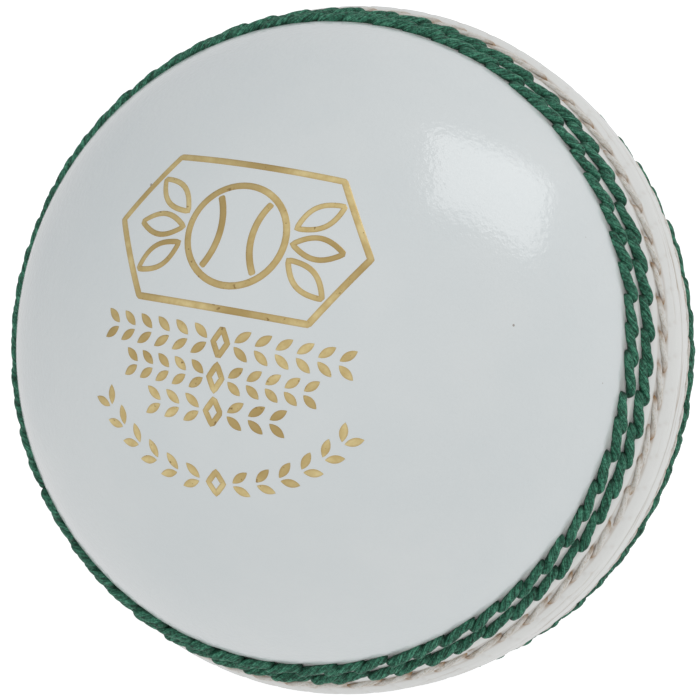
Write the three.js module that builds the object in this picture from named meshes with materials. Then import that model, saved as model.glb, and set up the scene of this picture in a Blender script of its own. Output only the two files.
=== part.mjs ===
// A cricket ball, built as it comes apart on a bench: a quilted cork-and-yarn centre, two leather
// cups that meet at the seam, and six rows of stitching that stand proud of the leather.
// Millimetres. The origin is the ball's centre, and +Z runs through the pole of the stamped cup,
// so the seam lies round the ball in the XY plane.
import * as THREE from 'three';

// ---- Driving dimensions ----------------------------------------------------------------------
const LEATHER_RADIUS = 35.8;       // outside of the leather at the poles
const LEATHER_THICKNESS = 3.8;
const CLEARANCE = 0.3;             // gap kept between pieces that touch
const SEAM_RISE = 0.6;             // how far the leather swells outwards at the joint
const SEAM_BAND = 9.0;             // arc length from the joint over which that swelling dies out

const STITCHES_PER_ROW = 65;
// Each row: arc length from the joint, width, height over the leather at a stitch's middle and
// between stitches, depth below the leather, lean along the seam, and sections in each stitch.
// A row with one section in each stitch is even all round, so it has no valley.
const OUTER_ROW = {
  offset: 11.0, width: 2.5, proud: 0.75, valley: 0.25, depth: 0.6, slant: 1.6, sections: 2,
};
const MIDDLE_ROW = { ...OUTER_ROW, offset: 8.1 };
const INNER_ROW = {
  offset: 4.7, width: 2.0, proud: 0.25, depth: 0.6, slant: 1.2, sections: 1,
};
const VALLEY_WIDTH = 0.84;         // share of a row's width that is left between stitches

const CORE_RADIUS = 14.0;
const FIRST_WINDING = [14.4, 19.0];  // inner and outer radius of each layer round the core
const FIRST_CORK = [19.5, 21.0];
const SECOND_WINDING = [21.5, 26.0];
const SECOND_CORK = [26.7, 28.0];
const THIRD_WINDING = [28.7, 31.7];
const YARN_END_HOLE = 1.4;           // radius left open where the end of the yarn is tucked in
const CORK_STRIPS = 4;               // strips in each cork layer
const CORK_STRIP_GAP = 1.2;          // degrees between neighbouring strips
const CORK_POLE_GAP = 9.0;           // degrees left bare at each pole

const CUP_SEGMENTS = 36;           // flats round each cup
const CUP_STEPS = 10;              // latitude steps of a cup's outside, and of its inside
const CHANNEL_STEPS = 2;           // latitude steps of a channel's floor
const LAYER_SEGMENTS = 24;         // flats round each layer of the centre
const WINDING_STEPS = 12;          // latitude steps of each round layer
const CORK_ROWS = 10;              // latitude steps of each cork strip

// ---- Small helpers ----------------------------------------------------------------------------
const radians = THREE.MathUtils.degToRad;
const ON_AXIS = 1e-6;              // profile points nearer the axis than this are put on it

function material(color, roughness) {
  return new THREE.MeshStandardMaterial({ color, roughness, metalness: 0 });
}

const whiteLeather = material(0xe9edef, 0.25);
const greenThread = material(0x1e6e50, 0.8);
const linenThread = material(0xcdc6b9, 0.85);
const woolYarn = material(0xd8cdb8, 0.95);
const corkSheet = material(0xb98a5a, 0.9);
const corkRubber = material(0x7a5436, 0.85);

// A point of a profile in the (distance from the Z axis, height) half plane, from its latitude.
function polar(latitude, radius) {
  return new THREE.Vector2(radius * Math.cos(latitude), radius * Math.sin(latitude));
}

// Evenly spaced profile points along an arc of latitude, both ends included.
function arc(fromLatitude, toLatitude, steps, radiusAt) {
  const points = [];
  for (let i = 0; i <= steps; i += 1) {
    const latitude = fromLatitude + ((toLatitude - fromLatitude) * i) / steps;
    points.push(polar(latitude, radiusAt(latitude)));
  }
  return points;
}

// Turns a profile about Z. LatheGeometry turns about Y, so the result is tipped over by 90 degrees.
function turnedAboutZ(profile, segments) {
  const outline = profile.map(({ x, y }) => new THREE.Vector2(x < ON_AXIS ? 0 : x, y));
  return new THREE.LatheGeometry(outline, segments).rotateX(Math.PI / 2);
}

// A closed mesh from a list of equal rings of points, each ring joined to the next. The last ring
// joins the first, so the mesh is a ring-shaped tube.
function closedTube(rings) {
  const sides = rings[0].length;
  const positions = rings.flat().flatMap((point) => point.toArray());
  const index = [];
  for (let i = 0; i < rings.length; i += 1) {
    const next = (i + 1) % rings.length;
    for (let j = 0; j < sides; j += 1) {
      const across = (j + 1) % sides;
      const a = i * sides + j;
      const b = next * sides + j;
      const c = next * sides + across;
      const d = i * sides + across;
      index.push(a, b, c, a, c, d);
    }
  }
  return indexed(positions, index);
}

function indexed(positions, index) {
  const geometry = new THREE.BufferGeometry();
  geometry.setAttribute('position', new THREE.Float32BufferAttribute(positions, 3));
  geometry.setIndex(index);
  geometry.computeVertexNormals();
  return geometry;
}

// A point of the ball, from longitude, latitude and distance from the centre.
function onBall(longitude, latitude, radius) {
  const across = radius * Math.cos(latitude);
  return new THREE.Vector3(
    across * Math.cos(longitude),
    across * Math.sin(longitude),
    radius * Math.sin(latitude),
  );
}

// ---- Leather cups -----------------------------------------------------------------------------
// The leather's outer radius: round at the poles, and swelling a little towards the joint.
function leatherRadius(latitude) {
  const along = Math.min(1, (Math.abs(latitude) * LEATHER_RADIUS) / SEAM_BAND);
  const fade = 0.5 + 0.5 * Math.cos(Math.PI * along);
  return LEATHER_RADIUS + SEAM_RISE * fade;
}

const latitudeOf = (arcLength) => arcLength / LEATHER_RADIUS;

// One channel in the leather that a row, or two rows side by side, lies in.
function channel(fromRow, toRow) {
  return {
    near: fromRow.offset - fromRow.width / 2 - CLEARANCE,
    far: toRow.offset + toRow.width / 2 + CLEARANCE,
    depth: fromRow.depth + CLEARANCE,
  };
}

// The upper cup's profile, from the pole down the outside to the joint and back up the inside.
function cupProfile() {
  const innerRadius = LEATHER_RADIUS - LEATHER_THICKNESS;
  const wide = channel(MIDDLE_ROW, OUTER_ROW);
  const narrow = channel(INNER_ROW, INNER_ROW);
  const pole = Math.PI / 2;
  const edge = Math.asin(CLEARANCE / 2 / LEATHER_RADIUS);
  const innerEdge = Math.asin(CLEARANCE / 2 / innerRadius);
  const profile = arc(pole, latitudeOf(wide.far), CUP_STEPS, leatherRadius);
  for (const cut of [wide, narrow]) {
    const floor = (latitude) => leatherRadius(latitude) - cut.depth;
    profile.push(...arc(latitudeOf(cut.far), latitudeOf(cut.near), CHANNEL_STEPS, floor));
    profile.push(polar(latitudeOf(cut.near), leatherRadius(latitudeOf(cut.near))));
    if (cut === wide) {
      profile.push(polar(latitudeOf(narrow.far), leatherRadius(latitudeOf(narrow.far))));
    }
  }
  profile.push(polar(edge, leatherRadius(edge)));
  profile.push(...arc(innerEdge, pole, CUP_STEPS, () => innerRadius));
  return profile;
}

function leatherCup(name, side) {
  const geometry = turnedAboutZ(cupProfile().reverse(), CUP_SEGMENTS);
  const cup = new THREE.Mesh(geometry, whiteLeather);
  cup.name = name;
  if (side < 0) {
    cup.rotation.x = Math.PI;
  }
  return cup;
}

// ---- Stitch rows ------------------------------------------------------------------------------
// A row is one ring of thread. Each of its sections leans along the seam by the row's slant, and
// where a stitch has two sections, one is wide and high, and the other is narrow and low.
function stitchSection(row, side, longitude, wide) {
  const halfWidth = ((wide ? 1 : VALLEY_WIDTH) * row.width) / 2;
  const height = wide ? row.proud : row.valley;
  const corners = [
    { across: -halfWidth, up: 0 },
    { across: 0, up: -row.depth },
    { across: halfWidth, up: 0 },
    { across: 0, up: height },
  ];
  return corners.map(({ across, up }) => {
    const latitude = latitudeOf(row.offset + across);
    const lean = (across * row.slant) / LEATHER_RADIUS;
    return onBall(longitude + side * lean, side * latitude, leatherRadius(latitude) + up);
  });
}

function stitchRow(name, row, side, thread) {
  const rings = [];
  const steps = row.sections * STITCHES_PER_ROW;
  for (let i = 0; i < steps; i += 1) {
    const wide = i % row.sections === 0;
    rings.push(stitchSection(row, side, (2 * Math.PI * i) / steps, wide));
  }
  // The upper rows run the other way round, so that their faces point out too.
  if (side > 0) {
    rings.reverse();
  }
  const mesh = new THREE.Mesh(closedTube(rings), thread);
  mesh.name = name;
  return mesh;
}

// ---- Quilted centre ---------------------------------------------------------------------------
function core() {
  const profile = arc(-Math.PI / 2, Math.PI / 2, WINDING_STEPS, () => CORE_RADIUS);
  const mesh = new THREE.Mesh(turnedAboutZ(profile, LAYER_SEGMENTS), corkRubber);
  mesh.name = 'cork_rubber_core';
  return mesh;
}

// A wound layer of yarn: a hollow ball, open at the bottom where the end of the yarn is tucked in.
function winding(name, [inner, outer]) {
  const outerHole = -Math.acos(YARN_END_HOLE / outer);
  const innerHole = -Math.acos(YARN_END_HOLE / inner);
  const outside = arc(outerHole, Math.PI / 2, WINDING_STEPS, () => outer);
  const inside = arc(Math.PI / 2, innerHole, WINDING_STEPS, () => inner);
  const profile = [...outside, ...inside];
  // The last point repeats the first, which closes the rim of the hole.
  profile.push(profile[0].clone());
  const mesh = new THREE.Mesh(turnedAboutZ(profile, LAYER_SEGMENTS), woolYarn);
  mesh.name = name;
  return mesh;
}

// One strip of cork sheet, pressed round the winding below it.
function corkStrip(name, [inner, outer], number) {
  const columns = LAYER_SEGMENTS / CORK_STRIPS;
  const rows = CORK_ROWS;
  const span = 360 / CORK_STRIPS;
  const lowest = -90 + CORK_POLE_GAP;
  const highest = 90 - CORK_POLE_GAP;
  const positions = [];
  for (const radius of [inner, outer]) {
    for (let i = 0; i <= rows; i += 1) {
      const latitude = radians(lowest + ((highest - lowest) * i) / rows);
      for (let j = 0; j <= columns; j += 1) {
        const inset = j === 0 ? CORK_STRIP_GAP / 2 : j === columns ? -CORK_STRIP_GAP / 2 : 0;
        const longitude = radians(number * span + (span * j) / columns + inset);
        positions.push(...onBall(longitude, latitude, radius).toArray());
      }
    }
  }
  const layer = (rows + 1) * (columns + 1);
  const at = (side, i, j) => side * layer + i * (columns + 1) + j;
  const index = [];
  const quad = (a, b, c, d) => index.push(a, b, c, a, c, d);
  for (let i = 0; i < rows; i += 1) {
    for (let j = 0; j < columns; j += 1) {
      quad(at(1, i, j), at(1, i, j + 1), at(1, i + 1, j + 1), at(1, i + 1, j));
      quad(at(0, i, j), at(0, i + 1, j), at(0, i + 1, j + 1), at(0, i, j + 1));
    }
    quad(at(0, i, 0), at(1, i, 0), at(1, i + 1, 0), at(0, i + 1, 0));
    quad(at(1, i, columns), at(0, i, columns), at(0, i + 1, columns), at(1, i + 1, columns));
  }
  for (let j = 0; j < columns; j += 1) {
    quad(at(0, 0, j), at(0, 0, j + 1), at(1, 0, j + 1), at(1, 0, j));
    quad(at(1, rows, j), at(1, rows, j + 1), at(0, rows, j + 1), at(0, rows, j));
  }
  const mesh = new THREE.Mesh(indexed(positions, index), corkSheet);
  mesh.name = name;
  return mesh;
}

function corkLayer(name, radii) {
  const layer = new THREE.Group();
  for (let number = 0; number < CORK_STRIPS; number += 1) {
    layer.add(corkStrip(`${name}_strip_${number + 1}`, radii, number));
  }
  return layer;
}

// ---- The ball ---------------------------------------------------------------------------------
const ball = new THREE.Group();
ball.name = 'cricket_ball';

const centre = new THREE.Group();
centre.add(core());
centre.add(winding('first_yarn_winding', FIRST_WINDING));
centre.add(corkLayer('first_cork', FIRST_CORK));
centre.add(winding('second_yarn_winding', SECOND_WINDING));
centre.add(corkLayer('second_cork', SECOND_CORK));
centre.add(winding('third_yarn_winding', THIRD_WINDING));
ball.add(centre);

const halves = [
  { place: 'upper', side: 1, cup: 'leather_cup_stamped' },
  { place: 'lower', side: -1, cup: 'leather_cup_plain' },
];
for (const { place, side, cup } of halves) {
  ball.add(leatherCup(cup, side));
  ball.add(stitchRow(`${place}_outer_stitch_row`, OUTER_ROW, side, greenThread));
  ball.add(stitchRow(`${place}_middle_stitch_row`, MIDDLE_ROW, side, greenThread));
  ball.add(stitchRow(`${place}_inner_stitch_row`, INNER_ROW, side, linenThread));
}

export default ball;
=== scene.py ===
"""A white cricket ball: lacquered leather cups, six rows of raised stitching, and a gold foil stamp.

Metres, in the CAD frame: the origin is the ball's centre, and +Z runs through the stamped pole.
A point of the cover has a longitude round the seam and an off, the arc length from the joint
between the cups towards a pole. Its height is measured out of the leather, and side is 1 on the
stamped cup and -1 on the plain one.
"""
import math

import bpy
import numpy as np
from mathutils import Matrix, Vector


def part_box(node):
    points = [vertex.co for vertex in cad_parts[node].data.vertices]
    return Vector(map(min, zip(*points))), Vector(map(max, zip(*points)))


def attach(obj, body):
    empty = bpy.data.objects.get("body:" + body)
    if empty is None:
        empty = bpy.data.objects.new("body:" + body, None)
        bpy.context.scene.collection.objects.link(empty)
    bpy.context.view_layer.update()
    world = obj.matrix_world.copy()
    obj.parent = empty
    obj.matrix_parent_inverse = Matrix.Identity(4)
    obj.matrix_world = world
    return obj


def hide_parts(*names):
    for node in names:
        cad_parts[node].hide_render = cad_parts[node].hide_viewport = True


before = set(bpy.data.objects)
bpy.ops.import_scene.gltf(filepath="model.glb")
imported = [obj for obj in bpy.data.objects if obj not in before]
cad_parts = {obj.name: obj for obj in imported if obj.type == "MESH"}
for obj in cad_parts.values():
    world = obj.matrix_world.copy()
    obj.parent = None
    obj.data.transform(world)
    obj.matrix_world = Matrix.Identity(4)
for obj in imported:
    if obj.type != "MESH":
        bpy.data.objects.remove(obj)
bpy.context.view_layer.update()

# ---- Sizes ------------------------------------------------------------------------------------
MM = 0.001
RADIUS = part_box("leather_cup_stamped")[1][2]    # the leather at the pole
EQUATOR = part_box("leather_cup_stamped")[1][0]   # the leather at the joint
SEAM_RISE = EQUATOR - RADIUS
SEAM_BAND = 9.0 * MM                            # the swelling at the joint dies out over this
LEATHER_THICKNESS = 3.8 * MM
INNER_RADIUS = RADIUS - LEATHER_THICKNESS
POLE_OFF = math.pi / 2 * RADIUS                 # from the joint to a pole, over the leather
STITCHES = 65
PITCH = 2 * math.pi * RADIUS / STITCHES
GREEN_ROW_OFFSETS = {"outer": 11.0 * MM, "middle": 8.1 * MM}
LINEN_ROW_OFFSET = 4.7 * MM
STAMP_TURN = math.radians(2.4)                  # from +X round to the stamp's right

# ---- Colours ----------------------------------------------------------------------------------
BLACK = (0.0, 0.0, 0.0)
WHITE = (1.0, 1.0, 1.0)
PALE_GREY = (0.8, 0.8, 0.8)
LEATHER_SHADE = (0.735, 0.785, 0.798)
LEATHER_LIGHT = (0.770, 0.812, 0.820)
BAND_CREAM = (0.780, 0.775, 0.748)
SOIL_AND_SHADE_BROWN = (0.34, 0.22, 0.12)
SPECK_GREY = (0.38, 0.35, 0.32)
GREEN_TONES = ((0.003, 0.032, 0.017), (0.015, 0.148, 0.086), (0.125, 0.440, 0.285))
LINEN_TONES = ((0.64, 0.58, 0.48), (0.83, 0.81, 0.77), (0.88, 0.87, 0.84))
# real wax on the linen's ends, and painted shade in its grooves and on its underside
LINEN_WAX_AND_SHADE = (0.40, 0.21, 0.07)
GOLD_DEEP = (0.68, 0.52, 0.23)
GOLD_PALE = (0.84, 0.69, 0.35)
GOLD_SHADOW = (0.47, 0.33, 0.12)
GOLD_CRACK = (0.34, 0.22, 0.08)
GOLD_EDGE = (0.36, 0.20, 0.06)
YARN_TONES = ((0.52, 0.46, 0.36), (0.74, 0.68, 0.56))
CORK_TONES = ((0.30, 0.17, 0.08), (0.60, 0.42, 0.24))
CORE_TONES = ((0.12, 0.07, 0.04), (0.42, 0.28, 0.17))
FLOOR_TONES = ((0.90, 0.90, 0.90), (0.92, 0.92, 0.92))
DIM_LIGHT = (0.64, 0.66, 0.68)


# ---- The ball's surface -----------------------------------------------------------------------
def leather_radius(off):
    """The leather's radius before any detail, as in the CAD model."""
    share = np.minimum(1.0, np.abs(off) / SEAM_BAND)
    return RADIUS + SEAM_RISE * (0.5 + 0.5 * np.cos(np.pi * share))


def on_ball(longitude, off, height, side):
    """Points of the ball from longitude, off and height, on one side of the joint."""
    latitude = off / RADIUS
    radius = leather_radius(off) + height
    across = radius * np.cos(latitude)
    up = side * radius * np.sin(latitude)
    return np.stack([across * np.cos(longitude), across * np.sin(longitude), up], axis=-1)


def on_stamp(right, up, height):
    """Points over the stamped pole, from arc lengths to the right and up the stamp."""
    x = right * math.cos(STAMP_TURN) - up * math.sin(STAMP_TURN)
    y = right * math.sin(STAMP_TURN) + up * math.cos(STAMP_TURN)
    bearing = np.arctan2(y, x)
    polar = np.hypot(x, y) / RADIUS
    radius = RADIUS + height
    return np.stack([
        radius * np.sin(polar) * np.cos(bearing),
        radius * np.sin(polar) * np.sin(bearing),
        radius * np.cos(polar),
    ], axis=-1)


def ridge(distance, width):
    """1 at distance 0, dying out smoothly to nothing at about twice the width."""
    return np.exp(-(distance / width) ** 2)


def from_nearest_whole(turns):
    return turns - np.round(turns)


# ---- Meshes -----------------------------------------------------------------------------------
def grid_faces(rows, columns, wrap_columns, first=0):
    """Quads between the points of a grid stored row after row."""
    last = columns if wrap_columns else columns - 1
    i, j = np.meshgrid(np.arange(rows - 1), np.arange(last), indexing="ij")
    right = (j + 1) % columns
    quads = np.stack([i * columns + j, i * columns + right,
                      (i + 1) * columns + right, (i + 1) * columns + j], axis=-1)
    return (quads.reshape(-1, 4) + first).tolist()


def new_mesh_object(name, points, faces, material):
    mesh = bpy.data.meshes.new(name)
    mesh.from_pydata(points.reshape(-1, 3).tolist(), [], faces)
    mesh.materials.append(material)
    thing = bpy.data.objects.new(name, mesh)
    bpy.context.scene.collection.objects.link(thing)
    return thing


def new_piece(name, points, faces, material):
    """A smooth-shaded mesh object that rides on the ball."""
    piece = new_mesh_object(name, points, faces, material)
    piece.data.validate()
    piece.data.polygons.foreach_set("use_smooth", [True] * len(piece.data.polygons))
    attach(piece, "root")
    return piece


def add_point_values(piece, name, values):
    """Stores one number per vertex, for the materials to read."""
    attribute = piece.data.attributes.new(name, "FLOAT", "POINT")
    attribute.data.foreach_set("value", np.asarray(values, dtype=np.float32).ravel())


def add_point_vectors(piece, name, vectors):
    """Stores one vector per vertex, for the materials to read."""
    attribute = piece.data.attributes.new(name, "FLOAT_VECTOR", "POINT")
    attribute.data.foreach_set("vector", np.asarray(vectors, dtype=np.float32).ravel())


# ---- Node trees -------------------------------------------------------------------------------
class NodeTree:
    """Adds nodes to the tree of a material or a world. Each method gives the new node's output,
    and takes each input as another node's output, a number, or a colour."""

    COLOR_BELOW = 6       # places of a mix node's colour sockets
    COLOR_ABOVE = 7
    COLOR_RESULT = 2

    def __init__(self, tree):
        self.nodes = tree.nodes
        self.links = tree.links

    def feed(self, socket, value):
        if isinstance(value, tuple):
            socket.default_value = (*value, 1.0)
        elif isinstance(value, (int, float)):
            socket.default_value = value
        else:
            self.links.new(value, socket)

    def coordinates(self, kind="Object"):
        return self.nodes.new("ShaderNodeTexCoord").outputs[kind]

    def attribute(self, name, output="Fac"):
        node = self.nodes.new("ShaderNodeAttribute")
        node.attribute_name = name
        return node.outputs[output]

    def noise(self, place, scale, detail=4.0, roughness=0.6):
        """Noise with about scale features in each unit of place, which is a metre for an object's
        coordinates."""
        node = self.nodes.new("ShaderNodeTexNoise")
        self.feed(node.inputs["Vector"], place)
        self.feed(node.inputs["Scale"], scale)
        self.feed(node.inputs["Detail"], detail)
        self.feed(node.inputs["Roughness"], roughness)
        return node.outputs["Fac"]

    def ramp(self, value, stops):
        """A colour ramp from (place, colour) stops."""
        node = self.nodes.new("ShaderNodeValToRGB")
        elements = node.color_ramp.elements
        while len(elements) < len(stops):
            elements.new(0.5)
        for element, (place, color) in zip(elements, stops):
            element.position = place
            element.color = (*color, 1.0)
        self.feed(node.inputs["Fac"], value)
        return node.outputs["Color"]

    def mix(self, amount, below, above):
        """The colour below where amount is 0, and the colour above where it is 1."""
        node = self.nodes.new("ShaderNodeMix")
        node.data_type = "RGBA"
        self.feed(node.inputs["Factor"], amount)
        self.feed(node.inputs[self.COLOR_BELOW], below)
        self.feed(node.inputs[self.COLOR_ABOVE], above)
        return node.outputs[self.COLOR_RESULT]

    def math(self, operation, *values):
        node = self.nodes.new("ShaderNodeMath")
        node.operation = operation
        for socket, value in zip(node.inputs, values):
            self.feed(socket, value)
        return node.outputs["Value"]

    def bump(self, height, distance, strength, before=None):
        node = self.nodes.new("ShaderNodeBump")
        self.feed(node.inputs["Height"], height)
        self.feed(node.inputs["Distance"], distance)
        self.feed(node.inputs["Strength"], strength)
        if before is not None:
            self.feed(node.inputs["Normal"], before)
        return node.outputs["Normal"]


class Surface(NodeTree):
    """A new material, with its shader's inputs set by name."""

    def __init__(self, name):
        self.material = bpy.data.materials.new(name)
        self.material.use_nodes = True
        super().__init__(self.material.node_tree)
        self.shader = self.nodes["Principled BSDF"]

    def set(self, name, value):
        self.feed(self.shader.inputs[name], value)


# ---- Materials --------------------------------------------------------------------------------
SPECK_CELLS = 260.0               # cells in each metre of leather, each of which may hold a speck
SPECK_RADIUS = 0.038              # as a share of a cell
SPECK_RARITY = 0.62               # how strong the noise has to be for a speck to show
THREAD_STOPS = (0.44, 0.52, 0.63)
FIBRE_SHARE = 0.6
FUZZ_SHARE = 0.45


def specks(surface, coords):
    """1 on a small speck: the middles of a few of the cells that cover the leather."""
    cells = surface.nodes.new("ShaderNodeTexVoronoi")
    surface.feed(cells.inputs["Vector"], coords)
    surface.feed(cells.inputs["Scale"], SPECK_CELLS)
    middle = surface.math("LESS_THAN", cells.outputs["Distance"], SPECK_RADIUS)
    strength = surface.noise(coords, scale=140.0, detail=1.0)
    few = surface.math("GREATER_THAN", strength, SPECK_RARITY)
    return surface.math("MULTIPLY", middle, few)


def leather_material():
    """Glossy lacquer over fine-grained white leather, warmer and duller beside the stitching, with
    painted shade in its creases and real wax in its holes.
    """
    surface = Surface("white_leather")
    coords = surface.coordinates()
    seam_band = surface.attribute("seam_band")
    tone = surface.ramp(surface.noise(coords, scale=90.0, detail=3.0),
                        [(0.3, LEATHER_SHADE), (0.7, LEATHER_LIGHT)])
    warm = surface.mix(seam_band, tone, BAND_CREAM)
    # painted shade in the creases and beside the stitches, and wax in the stitch holes, as one
    # darkening
    soiled_and_shaded = surface.mix(surface.attribute("soil_and_shade"), warm, SOIL_AND_SHADE_BROWN)
    surface.set("Base Color", surface.mix(specks(surface, coords), soiled_and_shaded, SPECK_GREY))
    surface.set("Roughness", 0.42)
    surface.set("Coat Weight", surface.math("MULTIPLY_ADD", seam_band, -1.0, 1.0))
    surface.set("Coat Roughness", 0.06)
    surface.set("Coat IOR", 1.6)
    grain = surface.noise(coords, scale=5200.0, detail=3.0)
    grained = surface.bump(grain, distance=0.012 * MM, strength=0.5)
    peel = surface.noise(coords, scale=1400.0, detail=2.0)
    peeled = surface.bump(peel, distance=0.050 * MM, strength=0.8, before=grained)
    surface.set("Normal", peeled)
    surface.set("Coat Normal", peeled)
    return surface.material


def thread_material(name, tones, stain_and_shade):
    """Waxed, twisted thread, from dark to body to bright tones. Fine fibres run round each stitch
    and a little fuzz lies over them. A darker colour paints shade on its ends, where they dive under
    the leather and the next stitch, in its grooves and on its underside; on the linen thread that
    colour is real wax on the ends as well."""
    surface = Surface(name)
    fibre = surface.noise(surface.attribute("lay", "Vector"), scale=5.0, roughness=0.65)
    fuzz = surface.noise(surface.coordinates(), scale=3600.0, roughness=0.75)
    value = surface.math("MULTIPLY", fibre, FIBRE_SHARE)
    value = surface.math("MULTIPLY_ADD", fuzz, FUZZ_SHARE, value)
    color = surface.ramp(value, list(zip(THREAD_STOPS, tones)))
    # painted shade over the thread's ends, grooves and underside; on the linen ends it is real wax
    # too
    surface.set("Base Color", surface.mix(surface.attribute("stain_and_shade"), color, stain_and_shade))
    surface.set("Roughness", 0.48)
    surface.set("Specular IOR Level", 0.4)
    surface.set("Normal", surface.bump(value, distance=0.20 * MM, strength=1.0))
    return surface.material


def foil_material():
    """Satin gold foil with fine cracks and patches of painted dark reflection, browner along the
    edges of its lines.
    """
    surface = Surface("gold_foil")
    coords = surface.coordinates()
    patches = surface.noise(coords, scale=700.0, detail=3.0)
    gold = surface.ramp(patches, [(0.35, GOLD_DEEP), (0.65, GOLD_PALE)])
    # darker patches painted where the foil would reflect the dark round it
    dark_reflection = surface.ramp(surface.noise(coords, scale=95.0, detail=2.0),
                        [(0.48, BLACK), (0.66, PALE_GREY)])
    cracks = surface.ramp(surface.noise(coords, scale=1500.0, detail=2.0),
                          [(0.66, BLACK), (0.74, WHITE)])
    cracked = surface.mix(cracks, surface.mix(dark_reflection, gold, GOLD_SHADOW), GOLD_CRACK)
    browned_edge = surface.math("MULTIPLY", surface.attribute("foil_edge"), patches)
    surface.set("Base Color", surface.mix(browned_edge, cracked, GOLD_EDGE))
    surface.set("Metallic", 0.6)
    surface.set("Roughness", 0.38)
    texture = surface.noise(coords, scale=2600.0, detail=3.0)
    surface.set("Normal", surface.bump(texture, distance=0.01 * MM, strength=0.5))
    return surface.material


def grained_material(name, tones, scale, stretch=(1.0, 1.0, 1.0)):
    """Yarn, cork or moulded core: a two-tone grain with a matching bump."""
    surface = Surface(name)
    mapping = surface.nodes.new("ShaderNodeMapping")
    mapping.inputs["Scale"].default_value = stretch
    surface.feed(mapping.inputs["Vector"], surface.coordinates())
    grain = surface.noise(mapping.outputs["Vector"], scale, detail=5.0)
    surface.set("Base Color", surface.ramp(grain, list(zip((0.35, 0.65), tones))))
    surface.set("Roughness", 0.9)
    surface.set("Normal", surface.bump(grain, distance=0.2 * MM, strength=0.6))
    return surface.material


# ---- Relief of the leather --------------------------------------------------------------------
# Each detail below gives a height, and how dark the leather is painted there, from 0 to 1: painted
# shade in the channels' rims, the folds and the puckers, wax in the linen holes, and the joint's
# line.
# A channel's rims are darkened with painted shade beside the thread, and beside the linen row with
# wax as well.
GREEN_CHANNEL = {
    "depth": 0.32 * MM, "width": 1.05 * MM,
    "rim": 1.0 * MM, "rim_width": 0.25 * MM, "rim_soil_and_shade": 0.06,
}
LINEN_CHANNEL = {
    "depth": 0.20 * MM, "width": 1.1 * MM,
    "rim": 0.75 * MM, "rim_width": 0.14 * MM, "rim_soil_and_shade": 0.30,
}
DENT_SHARE = 0.25                           # how much a green channel's depth varies in a stitch
DENT_LEAN = 1.45                            # how far a dent runs along for each unit off the joint
PUFF_HEIGHT = {1: 0.38 * MM, -1: 0.10 * MM}
PUFF_OFF = 2.3 * MM
PUFF_WIDTH = 1.9 * MM
JOINT_DEPTH = 0.30 * MM
JOINT_WIDTH = 0.20 * MM
# Hairline folds beside the joint: millimetres off it, width in millimetres, waves round the seam
# that the fold strays by, and how much painted shade darkens it.
BAND_FOLDS = ((0.45, 0.12, 11, 0.60), (1.5, 0.07, 5, 0.35), (2.7, 0.06, 7, 0.30))
FOLD_DEPTH = 0.06 * MM
HOLE_OFF = 0.45 * MM                        # a linen stitch's holes, from the middle of its row
HOLE_ALONG = 2.25 * MM
HOLE_SQUEEZE = 0.75                         # distance along a hole counts for this much
HOLE_DEPTH = 0.10 * MM
HOLE_WIDTH = 0.35 * MM
WAX_WIDTH = 0.28 * MM
WAX_SOIL = 0.80
PUCKER_OFF = 3.6 * MM                       # a pucker is deepest here
PUCKER_STRENGTH = 1.3                       # above 1, its middle keeps its full depth
PUCKER_REACH = 2.7 * MM                     # its strength falls by 1 over this
PUCKER_BEND = 0.35                          # share of the pitch that it bends along the seam
PUCKER_DEPTH = 0.12 * MM
PUCKER_WIDTH = 0.25 * MM
PUCKER_LINE = 0.13 * MM
# painted shade along the line of each pucker
PUCKER_SHADE = 0.13
RELIEF_END = 15.5 * MM                      # all relief has faded out here
RELIEF_FADE = 2 * MM


def off_row(longitude, off, side, offset):
    """How far off the middle of a row's channel a point is. The channel wanders a little."""
    wander = 0.10 * MM * np.sin(longitude * 9 + side) + 0.06 * MM * np.sin(longitude * 23 + 2)
    return off - offset - wander


def channel(shape, from_row):
    """A channel whose rims are darkened: painted shade where the leather meets the thread, and beside
    the linen row some wax as well.
    """
    from_rim = np.abs(from_row) - shape["rim"]
    height = -shape["depth"] * ridge(from_row, shape["width"])
    return height, shape["rim_soil_and_shade"] * ridge(from_rim, shape["rim_width"])


def green_channels(longitude, off, side):
    """The channels of the green rows, deeper where each stitch presses in."""
    height = 0.0
    soil_and_shade = 0.0
    for offset in GREEN_ROW_OFFSETS.values():
        from_row = off_row(longitude, off, side, offset)
        # its rims get painted shade
        floor, painted_shade = channel(GREEN_CHANNEL, from_row)
        phase = (longitude * RADIUS - side * DENT_LEAN * from_row) / PITCH * 2 * np.pi
        height = height + floor * (1 - DENT_SHARE * np.cos(phase))
        soil_and_shade = soil_and_shade + painted_shade
    return height, soil_and_shade


def linen_channel(longitude, off, side):
    """The shallow channel of the linen row, with wax and painted shade along its rims."""
    return channel(LINEN_CHANNEL, off_row(longitude, off, side, LINEN_ROW_OFFSET))


def joint_roll(longitude, off, side):
    """The leather puffs up beside the joint, and then rolls into it, which shows as a thin line
    of uneven strength."""
    puff = PUFF_HEIGHT[side] * ridge(off - PUFF_OFF, PUFF_WIDTH)
    roll = JOINT_DEPTH * ridge(off, JOINT_WIDTH)
    strength = 0.8 + 0.15 * np.sin(longitude * 17 + 1) + 0.10 * np.sin(longitude * 41)
    return puff - roll, strength * ridge(off, JOINT_WIDTH)


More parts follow.
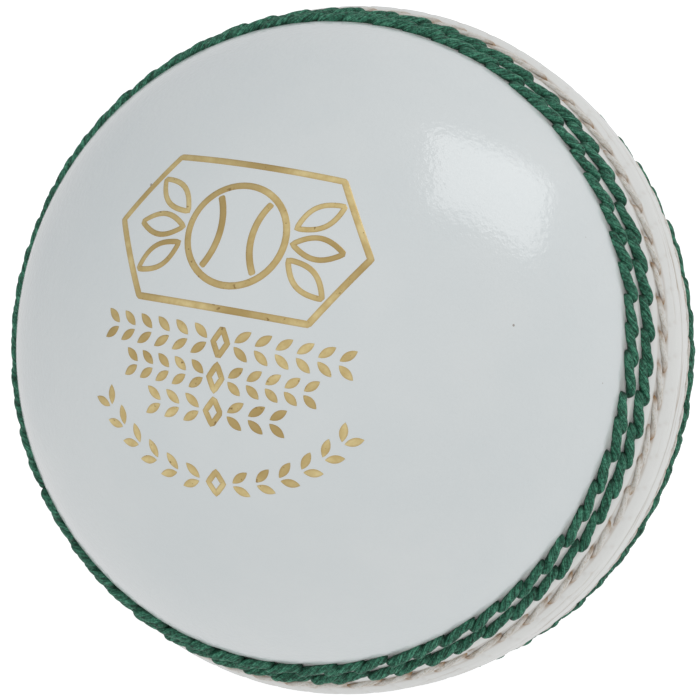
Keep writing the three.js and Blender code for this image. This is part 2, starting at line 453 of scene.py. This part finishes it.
def band_folds(longitude, off, side):
    """Hairline folds that run along the band between the joint and the linen row, and come and
    go round the ball, each darkened with painted shade. Every wave count is whole, so that they close
    on themselves."""
    height = 0.0
    soil_and_shade = 0.0
    for place, width, waves, painted_shade in BAND_FOLDS:
        stray = 0.30 * np.sin(longitude * waves + side)
        stray = stray + 0.12 * np.sin(longitude * (4 * waves + 3) + 2 * side)
        line = off - (place + stray) * MM
        shown = np.sin(longitude * (waves + 6) + place) + 0.7 * np.sin(longitude * 5 - side)
        shown = np.clip(shown, 0, 1)
        height = height - FOLD_DEPTH * ridge(line, 2 * width * MM) * shown
        # painted shade in the fold
        soil_and_shade = soil_and_shade + painted_shade * ridge(line, width * MM) * shown
    return height, soil_and_shade


def linen_holes(longitude, off, side):
    """A waxy hole at each end of each linen stitch, longer along the seam than across it."""
    height = 0.0
    soil_and_shade = 0.0
    for end in (-1, 1):
        turns = (longitude * RADIUS - side * end * HOLE_ALONG) / PITCH
        hole_along = from_nearest_whole(turns) * PITCH * HOLE_SQUEEZE
        from_hole = np.hypot(hole_along, off - LINEN_ROW_OFFSET - end * HOLE_OFF)
        height = height - HOLE_DEPTH * ridge(from_hole, HOLE_WIDTH)
        soil_and_shade = soil_and_shade + WAX_SOIL * ridge(from_hole, WAX_WIDTH)
    return height, soil_and_shade


def linen_puckers(longitude, off, side):
    """Puckers that the linen stitches pull, one each, bending along the seam towards that row, each
    darkened along its line with painted shade.
    """
    share = np.clip(off / LINEN_ROW_OFFSET, 0, 1)
    turns = longitude * RADIUS / PITCH + PUCKER_BEND * share ** 2 * side
    from_pucker = from_nearest_whole(turns) * PITCH
    shown = np.clip(PUCKER_STRENGTH - np.abs(off - PUCKER_OFF) / PUCKER_REACH, 0, 1)
    height = -PUCKER_DEPTH * ridge(from_pucker, PUCKER_WIDTH) * shown
    # the darkening is painted shade in the pucker
    return height, PUCKER_SHADE * ridge(from_pucker, PUCKER_LINE) * shown


LEATHER_DETAILS = (green_channels, linen_channel, joint_roll, band_folds, linen_holes, linen_puckers)


def leather_relief(longitude, off, side):
    """The height and the darkening, mostly painted shade, of all the details together, fading out on
    to the dome.
    """
    total_height = 0.0
    total_soil_and_shade = 0.0
    for detail in LEATHER_DETAILS:
        height, soil_and_shade = detail(longitude, off, side)
        total_height = total_height + height
        total_soil_and_shade = total_soil_and_shade + soil_and_shade
    fade = np.clip((RELIEF_END - off) / RELIEF_FADE, 0, 1)
    return total_height * fade, np.clip(total_soil_and_shade, 0, 1) * fade


# ---- Leather cups -----------------------------------------------------------------------------
AROUND = STITCHES * 10            # columns of the leather mesh
BAND_STEP = 0.14 * MM             # spacing of its rows over the stitched band
BAND_END = 13.6 * MM
DOME_STEP = 0.9 * MM              # and over the smooth dome
INSIDE_ROWS = 16
EDGE = 0.05 * MM                  # each cup stops this far from the joint plane
CREAM_END = 12.6 * MM             # the leather beside the stitching is warmer and duller to here
CREAM_FADE = 1.2 * MM
CREAM_SHARE = 0.75


def outside_offs():
    band = np.arange(EDGE, BAND_END, BAND_STEP)
    dome = np.linspace(BAND_END, POLE_OFF, int((POLE_OFF - BAND_END) / DOME_STEP))[:-1]
    return np.concatenate([band, dome])[:, None]


def cup_faces(rows, side):
    """Quads between a cup's rows, and a fan at each pole: the inside's, then the outside's."""
    faces = grid_faces(rows, AROUND, True)
    inner_pole = rows * AROUND
    outer_pole = inner_pole + 1
    last_row = inner_pole - AROUND
    for column in range(AROUND):
        after = (column + 1) % AROUND
        faces.append([after, column, inner_pole])
        faces.append([last_row + column, last_row + after, outer_pole])
    if side < 0:
        faces = [face[::-1] for face in faces]
    return faces


def leather_cup(name, side, node, material):
    """One cup as a closed shell: its rows run from the inner pole to the rim at the joint, and on
    over the outside to the outer pole."""
    off = outside_offs()
    longitude = np.linspace(0, 2 * np.pi, AROUND, endpoint=False)[None, :]
    height, soil_and_shade = leather_relief(longitude, off, side)
    outside = on_ball(longitude, off, height, side)
    inner_off = np.linspace(EDGE, POLE_OFF, INSIDE_ROWS + 1)[:-1, None]
    inner_height = INNER_RADIUS - leather_radius(inner_off) + 0 * longitude
    inside = on_ball(longitude, inner_off, inner_height, side)
    grid = np.concatenate([inside[::-1], outside])
    poles = np.array([[0, 0, side * INNER_RADIUS], [0, 0, side * RADIUS]])
    points = np.concatenate([grid.reshape(-1, 3), poles])
    cup = new_piece(name, points, cup_faces(len(grid), side), material)
    cream = np.clip((CREAM_END - off) / CREAM_FADE, 0, 1) * CREAM_SHARE + 0 * longitude
    blank_inside = np.zeros(inside.shape[:2])
    blank_poles = [0, 0]
    # the leather's darkening, mostly painted shade, goes to the material along with the warmer band
    for value_name, values in (("soil_and_shade", soil_and_shade), ("seam_band", cream)):
        values = np.append(np.concatenate([blank_inside, values]), blank_poles)
        add_point_values(cup, value_name, values)
    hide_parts(node)


# ---- Stitches ---------------------------------------------------------------------------------
# A stitch runs from its near end, towards the joint, to its far end. Half its width is thick and
# half its height is tall. It sways across the row, bows in the middle, and lies lift over the
# leather, with its far end tip higher than its near end. Each end dives into the leather, and a
# large taper makes it blunt. Its plies wind round it by twist radians, with grooves between them.
# Its ends are darkened over the share that its reach sets, and so are its grooves, and its sides from
# edge_reach of its half height down: painted shade where the thread dives in, lies in a groove or
# faces the leather, and on a linen stitch's ends real wax as well.
GREEN_STITCH = {
    "steps": 34, "sides": 24,
    "length": 5.0 * MM, "thick": 0.51 * MM, "tall": 0.58 * MM,
    "sway": 0.49 * MM, "bow": 0.10 * MM, "lift": 0.12 * MM, "tip": -0.40 * MM,
    "near_dive": 0.36 * MM, "far_dive": 0.12 * MM, "near_taper": 5.0, "far_taper": 9.0,
    "plies": 3, "twist": 6.0, "groove": 0.24, "groove_shade": 0.55,
    "stain_and_shade": 1.0, "stain_and_shade_reach": 0.08, "edge_reach": 0.0, "underside_shade": 0.9,
}
LINEN_STITCH = {
    "steps": 24, "sides": 16,
    "length": 4.7 * MM, "thick": 0.40 * MM, "tall": 0.30 * MM,
    "sway": 0.42 * MM, "bow": 0.12 * MM, "lift": 0.0 * MM, "tip": -0.24 * MM,
    "near_dive": 0.28 * MM, "far_dive": 0.18 * MM, "near_taper": 3.0, "far_taper": 5.0,
    "plies": 2, "twist": 5.0, "groove": 0.35, "groove_shade": 0.12,
    "stain_and_shade": 1.0, "stain_and_shade_reach": 0.14, "edge_reach": 0.15, "underside_shade": 0.45,
}
# How much stitches differ, in the order of the draws: a share of the stitch's own measure, or for
# turn, in radians round the thread, and wander, off the row, the amount itself.
STITCH_VARIETY = {
    "turn": 1.0, "length": 0.05, "thick": 0.06, "tall": 0.05,
    "sway": 0.15, "wander": 0.08 * MM, "lift": 0.10, "bow": 0.30,
}
SHIFT_PER_TURN = 0.07             # share of the pitch that a stitch shifts by for a radian of turn
LEAST_STAIN_AND_SHADE = 0.4                 # the ends of the least darkened stitch
SINK = {1: 0.0, -1: 0.14 * MM}    # the rows lie deeper on the plain cup
DIVE_POWER = 6                    # a high power keeps the dive to the very ends
LEAST_GIRTH = 0.1
LAY_PER_MM = 0.2                  # how fast the fibres' pattern changes along a stitch
LAY_SHIFT = 7.3                   # and how far it is moved on, in millimetres, for the next one


def varied_stitch(shape, random):
    """A copy of a stitch's shape with small differences of its own."""
    stitch = dict(shape)
    draws = random.normal(0, 1, len(STITCH_VARIETY))
    for (measure, spread), draw in zip(STITCH_VARIETY.items(), draws):
        if measure in shape:
            stitch[measure] = shape[measure] * (1 + spread * draw)
        else:
            stitch[measure] = spread * draw
    stitch["stain_and_shade"] = shape["stain_and_shade"] * (LEAST_STAIN_AND_SHADE + (1 - LEAST_STAIN_AND_SHADE) * random.random())
    return stitch


def stitch_path(stitch, t, side):
    """Where the middle of the thread runs: along the seam, off the row's middle, and height."""
    swing = np.pi * (t - 0.5)
    along = (t - 0.5) * stitch["length"]
    off = stitch["sway"] * np.sin(swing) + stitch["bow"] * (np.cos(swing) - 0.5)
    dive = np.where(t < 0.5, stitch["near_dive"], stitch["far_dive"])
    sunk = SINK[side] + dive * np.abs(2 * t - 1) ** DIVE_POWER
    height = stitch["lift"] - sunk + stitch["tip"] * (t - 0.5)
    return along, off, height


def stitch_surface(stitch, number, offset, side):
    """A stitch's points, how much painted shade and wax darken each one, and its place on the thread
    for the fibres.
    """
    t = np.linspace(0, 1, stitch["steps"])[:, None]
    angle = np.linspace(0, 2 * np.pi, stitch["sides"], endpoint=False)
    along, off, height = stitch_path(stitch, t, side)
    heading = np.arctan(np.gradient(off[:, 0], along[:, 0]))[:, None]
    taper = np.where(t < 0.5, stitch["near_taper"], stitch["far_taper"])
    girth = np.sqrt(np.clip(1 - np.abs(2 * t - 1) ** taper, LEAST_GIRTH ** 2, 1))
    wound = angle + stitch["twist"] * t + stitch["turn"]
    groove = (1 - np.abs(np.cos(stitch["plies"] * wound / 2))) ** 2
    swell = girth * (1 - stitch["groove"] * groove)
    wide = stitch["thick"] * swell * np.cos(angle)
    high = stitch["tall"] * swell * np.sin(angle)
    centre = 2 * np.pi * (number + SHIFT_PER_TURN * stitch["turn"]) / STITCHES
    longitude = centre + side * (along - wide * np.sin(heading)) / RADIUS
    from_joint = offset + stitch["wander"] + off + wide * np.cos(heading)
    points = on_ball(longitude, from_joint, height + high, side)
    # painted shade where the thread dives in, lies in a groove or faces the leather; wax on a linen
    # stitch's ends
    ends = np.maximum(ridge(t, stitch["stain_and_shade_reach"]), ridge(t - 1, stitch["stain_and_shade_reach"]))
    underside = np.clip(stitch["edge_reach"] - np.sin(angle), 0, 1)
    stained_and_shaded = (stitch["stain_and_shade"] * ends + stitch["underside_shade"] * underside
               + stitch["groove_shade"] * groove)
    lay_along = LAY_PER_MM * (t * stitch["length"] / MM + LAY_SHIFT * number)
    lay = np.stack([np.cos(wound), np.sin(wound), lay_along + 0 * wound], axis=-1)
    return points, np.clip(stained_and_shaded, 0, 1), lay


def tube_faces(steps, sides, first):
    """A closed tube's faces, round it and over its two ends, from its first point's number."""
    last = first + (steps - 1) * sides
    faces = grid_faces(steps, sides, True, first)
    faces.append(list(range(first, first + sides))[::-1])
    faces.append(list(range(last, last + sides)))
    return faces


def stitch_row(name, side, offset, shape, node, material, seed):
    """One row of separate stitches. Each is a twisted thread that rises out of the leather and
    dives back in by the next one, which it overlaps."""
    random = np.random.default_rng(seed)
    steps, sides = shape["steps"], shape["sides"]
    points, faces, stains_and_shades, lays = [], [], [], []
    for number in range(STITCHES):
        stitch = varied_stitch(shape, random)
        surface_points, stained_and_shaded, lay = stitch_surface(stitch, number, offset, side)
        points.append(surface_points)
        stains_and_shades.append(stained_and_shaded)
        lays.append(lay)
        faces += tube_faces(steps, sides, number * steps * sides)
    piece = new_piece(name, np.concatenate(points), faces, material)
    # On the stamped side the tubes run the other way round, which leaves them inside out.
    if side > 0:
        piece.data.flip_normals()
    # how much painted shade and wax darken each point
    add_point_values(piece, "stain_and_shade", np.concatenate(stains_and_shades))
    add_point_vectors(piece, "lay", np.concatenate(lays))
    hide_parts(node)


# ---- Gold stamp -------------------------------------------------------------------------------
LINE_WIDTH = 0.78 * MM
FOIL_HEIGHT = 0.035 * MM
FOIL_STEP = 0.25 * MM
CAP_LENGTH = 0.3                  # a blunt end's cap, as shares of the line's width
CAP_WIDTH = 0.55
POINT_WIDTH = 0.08                # width of a pointed end, as a share of the line's width
ARC_POINTS = 48
LEAF_POINTS = 24
# The section of a foil line: places across its width, heights, and how near an edge each is.
FOIL_ACROSS = np.array([-0.5, -0.42, -0.2, 0.2, 0.42, 0.5])
FOIL_RISE = np.array([-0.4, 0.75, 1.0, 1.0, 0.75, -0.4])
FOIL_EDGE = np.array([1.0, 0.5, 0.0, 0.0, 0.5, 1.0])


def resampled(path, closed):
    """Points at even steps along a path of (right, up) points."""
    path = np.asarray(path, dtype=float)
    if closed:
        path = np.vstack([path, path[:1]])
    reach = np.concatenate([[0], np.cumsum(np.hypot(*np.diff(path, axis=0).T))])
    count = max(3, int(reach[-1] / FOIL_STEP))
    places = np.linspace(0, reach[-1], count + 1)
    points = np.stack([np.interp(places, reach, path[:, k]) for k in (0, 1)], axis=-1)
    return points[:-1] if closed else points


def directions(points, closed):
    """The way along a path, and the way to its left, at each of its points."""
    if closed:
        along = np.roll(points, -1, axis=0) - np.roll(points, 1, axis=0)
    else:
        along = np.gradient(points, axis=0)
    along /= np.linalg.norm(along, axis=1)[:, None]
    return along, np.stack([-along[:, 1], along[:, 0]], axis=-1)


class Stamp:
    """Collects foil lines and builds them as one mesh."""

    def __init__(self):
        self.points = []
        self.faces = []
        self.edges = []
        self.count = 0

    def line(self, path, closed=False, width=LINE_WIDTH, pointed=False):
        """A foil line along a path. A pointed one narrows to a point at both ends, and any other
        open one has blunt ends."""
        points = resampled(path, closed)
        along, left = directions(points, closed)
        across = FOIL_ACROSS[:, None] * width
        girth = np.ones(len(points))
        if pointed:
            swell = np.sin(np.pi * np.linspace(0, 1, len(points))) ** 0.8
            girth = POINT_WIDTH + (1 - POINT_WIDTH) * swell
        flat = points[:, None] + left[:, None] * across * girth[:, None, None]
        heights = np.tile(FOIL_RISE * FOIL_HEIGHT, (len(points), 1))
        if not closed and not pointed:
            before = points[0] - CAP_LENGTH * width * along[0] + CAP_WIDTH * left[0] * across
            after = points[-1] + CAP_LENGTH * width * along[-1] + CAP_WIDTH * left[-1] * across
            flat = np.concatenate([before[None], flat, after[None]])
            low = np.full((1, len(across)), FOIL_RISE[0] * FOIL_HEIGHT)
            heights = np.concatenate([low, heights, low])
        self.add_strip(on_stamp(flat[..., 0], flat[..., 1], heights), closed)

    def add_strip(self, points, closed):
        """Adds a strip of faces over rows of points. A closed one joins its last row to its first."""
        rows, columns = points.shape[:2]
        faces = grid_faces(rows, columns, False, self.count)
        if closed:
            last = self.count + (rows - 1) * columns
            for j in range(columns - 1):
                faces.append([last + j, last + j + 1, self.count + j + 1, self.count + j])
        self.points.append(points.reshape(-1, 3))
        self.faces += [face[::-1] for face in faces]
        self.edges.append(np.tile(FOIL_EDGE, rows))
        self.count += rows * columns

    def build(self, material):
        piece = new_piece("gold_foil_stamp", np.concatenate(self.points), self.faces,
                          material)
        add_point_values(piece, "foil_edge", np.concatenate(self.edges))


def arc_path(centre, radius, start, end):
    """Points of an arc between two bearings, in degrees."""
    angles = np.radians(np.linspace(start, end, ARC_POINTS))
    return np.stack([centre[0] + radius * np.cos(angles),
                     centre[1] + radius * np.sin(angles)], axis=-1)


def leaf_path(base, length, width, heading):
    """The outline of a pointed leaf that grows from its base in the direction of heading."""
    t = np.linspace(0, 1, LEAF_POINTS)
    half = 0.5 * width * np.sin(np.pi * t) ** 0.9
    outline = np.concatenate([np.stack([t * length, half], axis=-1),
                              np.stack([t[::-1] * length, -half[::-1]], axis=-1)[1:-1]])
    angle = math.radians(heading)
    turned = outline @ np.array([[math.cos(angle), math.sin(angle)],
                                 [-math.sin(angle), math.cos(angle)]])
    return turned + np.asarray(base)


EMBLEM_CENTRE = (-2.0 * MM, 9.0 * MM)
EMBLEM_HALF_WIDTH = 14.4 * MM
EMBLEM_HALF_HEIGHT = 7.8 * MM
EMBLEM_SHOULDER = 9.6 * MM        # half the length of the frame's level sides
EMBLEM_BALL_RADIUS = 5.4 * MM
EMBLEM_SEAM_RADIUS = 7.2 * MM     # each curve across the little ball is an arc of this radius
EMBLEM_SEAM_CENTRE = 9.0 * MM     # and its centre is this far from the little ball's
EMBLEM_SEAM_SWEEP = 31            # degrees each way
LEAF_BASE = 6.2 * MM              # from the little ball's centre
LEAF_RISE = 0.045 * MM            # a leaf's base is higher by this for each degree that it points up
LEAF_LENGTH = 5.4 * MM
LEAF_WIDTH = 2.3 * MM
LEAF_HEADINGS = (38, 0, -38)
LEAF_LINE = 0.8 * LINE_WIDTH


def stamp_emblem(stamp):
    """A ball with leaves on either side, in a long six-sided frame."""
    x, y = EMBLEM_CENTRE
    top = y + EMBLEM_HALF_HEIGHT
    bottom = y - EMBLEM_HALF_HEIGHT
    stamp.line([(x - EMBLEM_HALF_WIDTH, y), (x - EMBLEM_SHOULDER, top), (x + EMBLEM_SHOULDER, top),
                (x + EMBLEM_HALF_WIDTH, y), (x + EMBLEM_SHOULDER, bottom),
                (x - EMBLEM_SHOULDER, bottom)], closed=True)
    # The ring stops a step short of a full turn, and the line closes it.
    stamp.line(arc_path(EMBLEM_CENTRE, EMBLEM_BALL_RADIUS, 0, 360 - 360 / ARC_POINTS), closed=True)
    for facing in (-1, 1):
        start = (180 if facing > 0 else 0) - EMBLEM_SEAM_SWEEP
        stamp.line(arc_path((x + facing * EMBLEM_SEAM_CENTRE, y), EMBLEM_SEAM_RADIUS,
                            start, start + 2 * EMBLEM_SEAM_SWEEP))
        for heading in LEAF_HEADINGS:
            angle = heading if facing > 0 else 180 - heading
            base = (x + facing * LEAF_BASE, y + heading * LEAF_RISE)
            stamp.line(leaf_path(base, LEAF_LENGTH, LEAF_WIDTH, angle), closed=True,
                       width=LEAF_LINE)


# The straight garlands: centre, width, height, and spots along them.
GARLANDS = (
    ((-1.1 * MM, -2.1 * MM), 28.5 * MM, 2.9 * MM, 13),
    ((-1.1 * MM, -5.7 * MM), 22.0 * MM, 2.7 * MM, 11),
    ((-1.0 * MM, -9.2 * MM), 16.0 * MM, 2.7 * MM, 7),
)
# The curved garland below them.
CURVE_CENTRE = (-0.6 * MM, 0.5 * MM)
CURVE_RADIUS = 17.2 * MM
CURVE_BEARINGS = (-142, -36)
CURVE_SPOTS = 13
CURVE_STEP = 2.4 * MM
CURVE_HEIGHT = 2.5 * MM
# Places round a spot, as shares of the step along the garland and of its height.
DIAMOND_CORNER = (0.36, 0.50)
LEAF_ROOT = (-0.30, 0.08)
LEAF_TIP = (0.42, 0.52)
DIAMOND_LINE = 0.85 * LINE_WIDTH
FILLED_LEAF_LINE = 1.25 * LINE_WIDTH


def garland(stamp, spots, step, height):
    """Pairs of pointed leaves along a line, growing away from a diamond in the middle.
    Each spot is a point and the line's direction there."""
    middle = len(spots) // 2
    for number, (spot, along) in enumerate(spots):
        sideways = np.array([-along[1], along[0]])
        if number == middle:
            end = DIAMOND_CORNER[0] * step * along
            top = DIAMOND_CORNER[1] * height * sideways
            stamp.line([spot - end, spot + top, spot + end, spot - top], closed=True,
                       width=DIAMOND_LINE)
            continue
        outward = along if number > middle else -along
        for facing in (-1, 1):
            leaf = [spot + ahead * step * outward + facing * aside * height * sideways
                    for ahead, aside in (LEAF_ROOT, LEAF_TIP)]
            stamp.line(leaf, width=FILLED_LEAF_LINE, pointed=True)


def straight_spots(centre, width, count):
    step = width / count
    along = np.array([1.0, 0.0])
    return [(np.asarray(centre) + (number - (count - 1) / 2) * step * along, along)
            for number in range(count)]


def curved_spots(centre, radius, bearings, count):
    spots = []
    for bearing in np.radians(np.linspace(*bearings, count)):
        direction = np.array([math.cos(bearing), math.sin(bearing)])
        along = np.array([-direction[1], direction[0]])
        spots.append((np.asarray(centre) + radius * direction, along))
    return spots


def gold_stamp(material):
    """An emblem over three straight garlands and a curved one."""
    stamp = Stamp()
    stamp_emblem(stamp)
    for centre, width, height, count in GARLANDS:
        garland(stamp, straight_spots(centre, width, count), width / count, height)
    curve = curved_spots(CURVE_CENTRE, CURVE_RADIUS, CURVE_BEARINGS, CURVE_SPOTS)
    garland(stamp, curve, CURVE_STEP, CURVE_HEIGHT)
    stamp.build(material)


# ---- Camera, lights and floor -----------------------------------------------------------------
VIEW_TILT = math.radians(19.95)       # between the pole's axis and the line of sight
VIEW_ROLL = math.radians(77.44)
VIEW_DISTANCE = 16.0 * RADIUS
VIEW_SHIFT = -0.0037
NEAREST_SEEN = 0.01
LENS = 276.5                          # millimetres, as the sensor is
SENSOR = 36.0
AMBIENT = 0.715                       # light from all round, on the ball
DIM_TOWARD = (-0.65, 0.65, -0.4)      # right, up and back: where that light is dimmer
SOFTBOX_OUTWARD = (0.647, 0.762)      # right and up: the way from the view's middle to the softbox
SOFTBOX_SWING = math.radians(74.8)    # from the line of sight round to it
SOFTBOX_UP = (0.924, -0.382)          # its own up: farther outward, and sideways
SOFTBOX = {"distance": 0.55, "width": 0.34, "height": 0.30, "power": 0.48}
BROAD_TOWARD = (0.25, 0.55, 1.0)
BROAD = {"distance": 0.8, "width": 0.7, "height": 0.7, "power": 0.65}
FLOOR_RADIUS = 0.16
FLOOR_CORNERS = 96
FLOOR_GAP = 0.05 * MM                 # below the ball
BACKDROP_RADIUS = 2.5
BACKDROP_RINGS = 23
BACKDROP_COLUMNS = 48


def view_axes():
    """The camera's right, up and backward directions."""
    back = Vector((math.sin(VIEW_TILT), 0, math.cos(VIEW_TILT)))
    level_right = Vector((0, 1, 0))
    level_up = back.cross(level_right)
    up = math.cos(VIEW_ROLL) * level_up + math.sin(VIEW_ROLL) * level_right
    return up.cross(back), up, back


def looking_in(right, up, back, distance):
    """The placing of a camera or a light that looks at the ball's centre from a distance."""
    turn = Matrix((right, up, back)).transposed().to_4x4()
    return Matrix.Translation(back * distance) @ turn


def add_camera():
    right, up, back = view_axes()
    data = bpy.data.cameras.new("view")
    data.lens = LENS
    data.sensor_width = SENSOR
    data.shift_x = VIEW_SHIFT
    data.clip_start = NEAREST_SEEN
    camera = bpy.data.objects.new("view", data)
    camera.matrix_world = looking_in(right, up, back, VIEW_DISTANCE)
    bpy.context.scene.collection.objects.link(camera)
    bpy.context.scene.camera = camera


def area_light(name, toward, light_up, distance, width, height, power):
    data = bpy.data.lights.new(name, "AREA")
    data.shape = "RECTANGLE"
    data.size = width
    data.size_y = height
    data.energy = power
    light = bpy.data.objects.new(name, data)
    back = Vector(toward).normalized()
    right = Vector(light_up).cross(back).normalized()
    light.matrix_world = looking_in(right, back.cross(right), back, distance)
    bpy.context.scene.collection.objects.link(light)
    return light


def add_lights():
    """A softbox that shows in the lacquer, and a broad soft light that only models the shapes."""
    right, up, back = view_axes()
    outward = SOFTBOX_OUTWARD[0] * right + SOFTBOX_OUTWARD[1] * up
    sideways = SOFTBOX_OUTWARD[1] * right - SOFTBOX_OUTWARD[0] * up
    toward = math.sin(SOFTBOX_SWING) * outward + math.cos(SOFTBOX_SWING) * back
    farther = math.cos(SOFTBOX_SWING) * outward - math.sin(SOFTBOX_SWING) * back
    softbox_up = SOFTBOX_UP[0] * farther + SOFTBOX_UP[1] * sideways
    softbox = area_light("softbox", toward, softbox_up, **SOFTBOX)
    softbox.visible_diffuse = False
    broad = area_light("broad", BROAD_TOWARD, (0, 1, 0), **BROAD)
    broad.visible_glossy = False


def add_world():
    """Even light from all round, dimmer from up and to the left of the view."""
    world = bpy.data.worlds.new("studio")
    world.use_nodes = True
    tree = NodeTree(world.node_tree)
    background = tree.nodes["Background"]
    axes = Matrix(view_axes()).transposed()
    toward_dim = tree.nodes.new("ShaderNodeVectorMath")
    toward_dim.operation = "DOT_PRODUCT"
    tree.feed(toward_dim.inputs[0], tree.coordinates("Generated"))
    toward_dim.inputs[1].default_value = (axes @ Vector(DIM_TOWARD)).normalized()
    shade = tree.math("MULTIPLY_ADD", toward_dim.outputs["Value"], 0.5, 0.5)
    tree.feed(background.inputs["Color"], tree.ramp(shade, [(0.76, WHITE), (1.0, DIM_LIGHT)]))
    tree.feed(background.inputs["Strength"], AMBIENT)
    bpy.context.scene.world = world


def add_floor():
    """A pale disc under the ball."""
    surface = Surface("pale_floor")
    grain = surface.noise(surface.coordinates(), scale=300.0)
    surface.set("Base Color", surface.ramp(grain, list(zip((0.4, 0.6), FLOOR_TONES))))
    surface.set("Roughness", 0.9)
    surface.set("Emission Color", WHITE)
    surface.set("Emission Strength", 0.45)
    angles = np.linspace(0, 2 * np.pi, FLOOR_CORNERS, endpoint=False)
    level = np.full(FLOOR_CORNERS, -RADIUS - FLOOR_GAP)
    points = np.stack([FLOOR_RADIUS * np.cos(angles), FLOOR_RADIUS * np.sin(angles), level],
                      axis=-1)
    floor = new_mesh_object("floor", points, [list(range(FLOOR_CORNERS))], surface.material)
    floor.visible_glossy = False


def add_backdrop():
    """A plain white surround that only the camera sees."""
    surface = Surface("white_backdrop")
    surface.set("Base Color", WHITE)
    surface.set("Emission Color", WHITE)
    surface.set("Emission Strength", 1.0)
    latitude = np.linspace(-math.pi / 2, math.pi / 2, BACKDROP_RINGS + 2)[1:-1, None]
    around = np.linspace(0, 2 * np.pi, BACKDROP_COLUMNS, endpoint=False)[None, :]
    points = BACKDROP_RADIUS * np.stack([
        np.cos(latitude) * np.cos(around),
        np.cos(latitude) * np.sin(around),
        np.sin(latitude) + 0 * around,
    ], axis=-1)
    first_ring = list(range(BACKDROP_COLUMNS))
    last_ring = [(BACKDROP_RINGS - 1) * BACKDROP_COLUMNS + column for column in first_ring]
    faces = grid_faces(BACKDROP_RINGS, BACKDROP_COLUMNS, True) + [first_ring, last_ring]
    backdrop = new_mesh_object("backdrop", points, faces, surface.material)
    for ray in ("diffuse", "glossy", "transmission", "shadow"):
        setattr(backdrop, f"visible_{ray}", False)


# ---- The ball's centre ------------------------------------------------------------------------
def dress_centre():
    """Materials for the CAD pieces inside the leather."""
    yarn = grained_material("wound_yarn", YARN_TONES, 160.0, stretch=(1.0, 1.0, 9.0))
    cork = grained_material("cork_sheet", CORK_TONES, 420.0)
    core = grained_material("cork_rubber", CORE_TONES, 300.0)
    for name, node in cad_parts.items():
        if "leather" in name or "stitch" in name:
            continue
        if "yarn" in name:
            chosen = yarn
        elif "core" in name:
            chosen = core
        else:
            chosen = cork
        for place in node.material_slots:
            place.material = chosen


# ---- Everything -------------------------------------------------------------------------------
GREEN_SEED = 10
LINEN_SEED = 30
HALVES = (("upper", 1, "leather_cup_stamped"), ("lower", -1, "leather_cup_plain"))


def add_cover():
    """Both cups and their rows of stitching. Each row has a seed of its own, so no two look alike."""
    leather = leather_material()
    # Each thread's darker colour paints shade on it, and on the linen it is wax as well
    green = thread_material("green_thread", GREEN_TONES, stain_and_shade=GREEN_TONES[0])
    linen = thread_material("linen_thread", LINEN_TONES, stain_and_shade=LINEN_WAX_AND_SHADE)
    for place, side, cup in HALVES:
        leather_cup(f"{cup}_detail", side, cup, leather)
        for number, (row, offset) in enumerate(GREEN_ROW_OFFSETS.items()):
            stitch_row(f"{place}_{row}_stitches", side, offset, GREEN_STITCH,
                       f"{place}_{row}_stitch_row", green,
                       GREEN_SEED + number + 5 * side)
        stitch_row(f"{place}_inner_stitches", side, LINEN_ROW_OFFSET, LINEN_STITCH,
                   f"{place}_inner_stitch_row", linen, LINEN_SEED + side)


bpy.context.scene.view_settings.view_transform = "Standard"
add_camera()
add_world()
add_lights()
add_floor()
add_backdrop()
dress_centre()
add_cover()
gold_stamp(foil_material())
